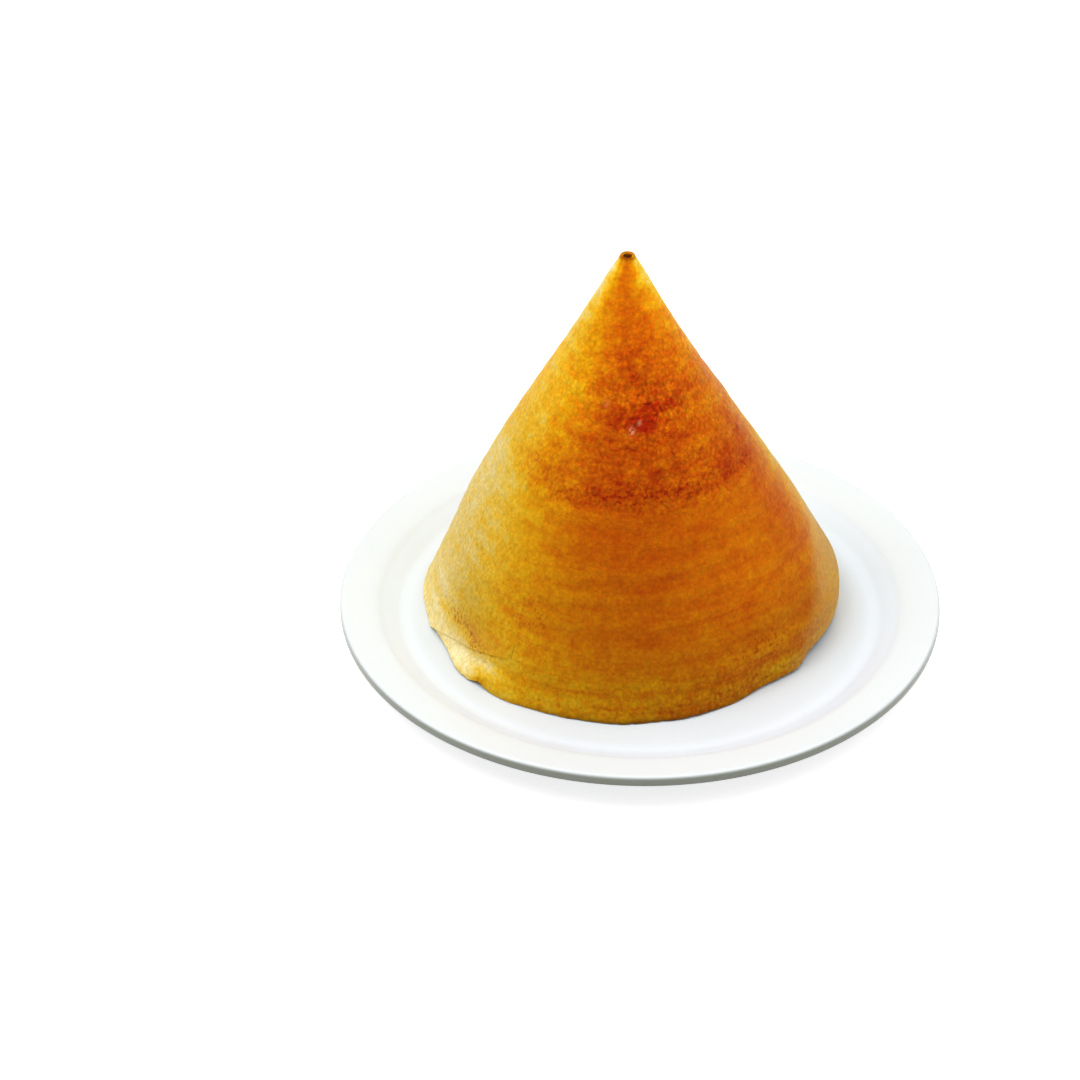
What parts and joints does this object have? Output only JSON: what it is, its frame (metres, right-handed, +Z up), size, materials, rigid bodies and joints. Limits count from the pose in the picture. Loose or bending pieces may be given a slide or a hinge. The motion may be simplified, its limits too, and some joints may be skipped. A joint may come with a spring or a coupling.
{
  "type": "plate of cone dosa",
  "caption": "Crisp rice-batter dosa rolled into a tall open-ended cone, standing on a shallow round white plate.",
  "frame": {"origin": "on the plate's axis, at the height of the table that its foot ring stands on", "axes": "+Z up; -Y is the front, from which the dosa's flap and seam are seen a little to the left"},
  "size_m": [0.27, 0.27, 0.195],
  "materials": {
    "glazed_porcelain": "clear-glazed white porcelain",
    "griddled_rice_batter": "griddled, crisp and lightly oiled"
  },
  "bodies": {
    "root": {"plate": "glazed_porcelain", "dosa": "griddled_rice_batter"}
  },
  "joints": []
}
